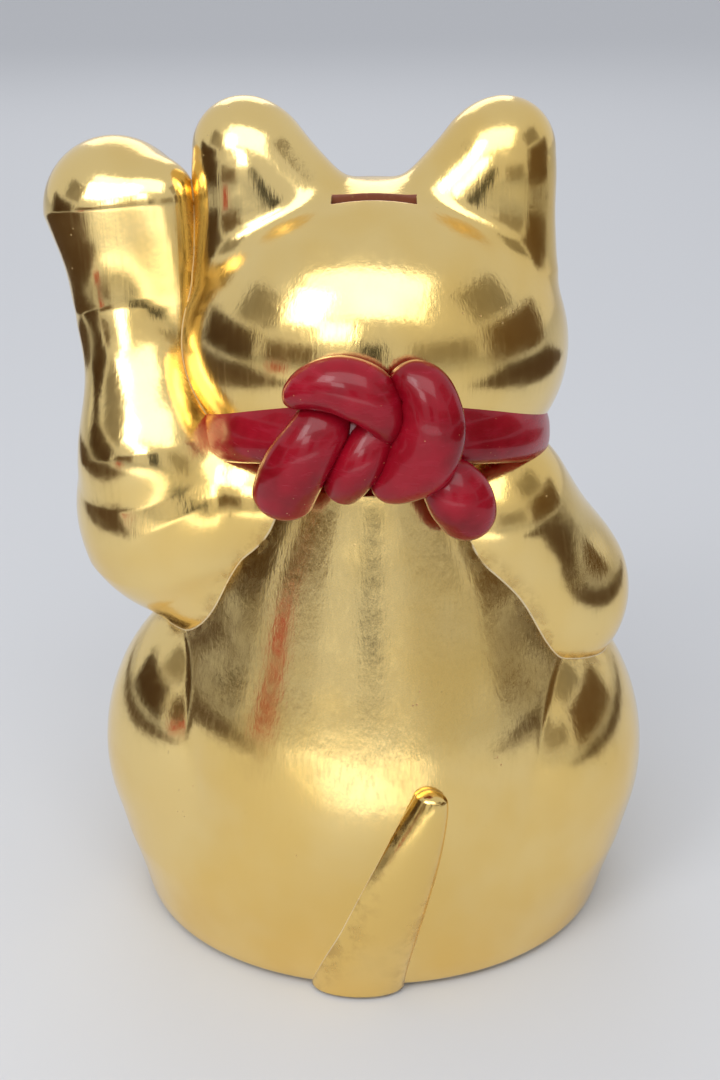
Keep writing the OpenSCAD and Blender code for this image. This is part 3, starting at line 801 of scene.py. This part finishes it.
studio = {
    "floor": (0.63, 0.64, 0.66), "sky": (0.93, 0.95, 1.0), "skyStrength": 0.70,
    "tones": {"dark": (0.006, 0.005, 0.004), "brown": (0.06, 0.03, 0.012), "umber": (0.13, 0.08, 0.04),
              "grey": (0.32, 0.29, 0.25)},
    "cards": [  # name, centre, size, point it faces, tone
        ("cardBehindCamera", (0.03, 1.35, 0.38), (0.26, 0.40), (0, 0, 0.40), "dark"),
        ("cardLeftFar", (1.49, 0.1, 0.34), (1.2, 0.5), (0, 0, 0.34), "brown"),
        ("cardLeftNear", (1.05, 1.1, 0.36), (0.8, 0.34), (0, 0, 0.36), "umber"),
        ("cardLeftHigh", (1.38, 0.5, 1.0), (0.8, 0.6), (0, 0, 0.24), "grey"),
        ("cardRightFar", (-1.45, 0.15, 0.4), (1.3, 0.6), (0, 0, 0.36), "umber"),
        ("cardRightNear", (-0.95, 1.3, 0.42), (1.0, 0.40), (0, 0, 0.42), "grey"),
        ("cardRightHigh", (-1.35, 0.4, 1.1), (0.9, 0.6), (0, 0, 0.24), "grey"),
        ("cardFloorLeft", (1.05, 0.0, 0.004), (1.0, 1.3), (1.05, 0, 1), "brown"),
        ("cardFloorRight", (-1.05, -0.05, 0.004), (1.0, 1.1), (-1.05, -0.05, 1), "brown")],
    "redCard": (0.5, 0.03, 0.015),
    "boxes": [  # name, centre, target, width, height, watts
        ("skylight", (0.1, 1.16, 1.6), (0, 0, 0.2), 2.0, 1.1, 15),
        ("window", (0.95, 1.1, 1.25), (0, 0, 0.22), 0.6, 0.7, 6),
        ("faceFill", (0.3, -2.2, 1.6), (0, 0, 0.2), 1.6, 1.2, 8)],
    "reflectedBoxes": [  # these are mirrored in the glaze and light nothing else
        ("brightFloor", (0.15, 1.3, 0.004), (0.15, 1.3, 1), 1.1, 1.0, 5),
        ("napeGlow", (0.5, 1.35, 0.82), (0, 0, 0.22), 0.45, 0.35, 2.2)],
    "camera": (0, 0.547, 0.406), "lens": 50.0, "sensor": 36.0, "lookDown": 24.5, "slide": -14 / 1080,
}


def stageCard(name, centre, size, facing, material, hidden):
    # a flat card that looks at a point
    mesh = bpy.data.meshes.new(name)
    w, h = size[0] / 2, size[1] / 2
    mesh.from_pydata([(-w, -h, 0), (w, -h, 0), (w, h, 0), (-w, h, 0)], [], [(0, 1, 2, 3)])
    mesh.materials.append(material)
    card = bpy.data.objects.new(name, mesh)
    bpy.context.scene.collection.objects.link(card)
    card.location = centre
    card.rotation_euler = (Vector(facing) - Vector(centre)).to_track_quat("Z", "Y").to_euler()
    if hidden:
        card.visible_camera = False
        card.visible_diffuse = False
        card.visible_shadow = False


def plain(name, colour, rough):
    f = Finish(name, **{"Base Color": (*colour, 1.0), "Roughness": rough, "Specular IOR Level": 0.3})
    return f.material


def softBox(name, centre, target, width, height, power):
    light = bpy.data.lights.new(name, "AREA")
    light.shape, light.size, light.size_y, light.energy = "RECTANGLE", width, height, power
    lamp = bpy.data.objects.new(name, light)
    bpy.context.scene.collection.objects.link(lamp)
    lamp.location = centre
    lamp.rotation_euler = (Vector(target) - Vector(centre)).to_track_quat("-Z", "Y").to_euler()
    lamp.visible_camera = False
    return lamp


stageCard("floor", (0, 0, 0), (24, 24), (0, 0, 1), plain("paperFloor", studio["floor"], 0.8), False)
tones = {key: plain(key + "Card", colour, 0.9) for key, colour in studio["tones"].items()}
for name, centre, size, facing, tone in studio["cards"]:
    stageCard(name, centre, size, facing, tones[tone], True)
scarlet = plain("redCard", studio["redCard"], 0.8)
stageCard("cardRed", (0.95, 0.8, 0.10), (0.2, 0.12), (0, 0, 0.10), scarlet, True)
for box in studio["boxes"]:
    softBox(*box)
for box in studio["reflectedBoxes"]:
    softBox(*box).visible_diffuse = False

world = bpy.data.worlds.new("studio")
bpy.context.scene.world = world
world.use_nodes = True
world.node_tree.nodes["Background"].inputs[0].default_value = (*studio["sky"], 1)
world.node_tree.nodes["Background"].inputs[1].default_value = studio["skyStrength"]
bpy.context.scene.view_settings.view_transform = "Standard"

camera = bpy.data.objects.new("camera", bpy.data.cameras.new("camera"))
bpy.context.scene.collection.objects.link(camera)
camera.data.lens = studio["lens"]
camera.data.sensor_width = studio["sensor"]
camera.data.shift_x = studio["slide"]
camera.location = studio["camera"]
camera.rotation_euler = (math.radians(90 - studio["lookDown"]), 0, math.pi)
bpy.context.scene.camera = camera
print("studio made")
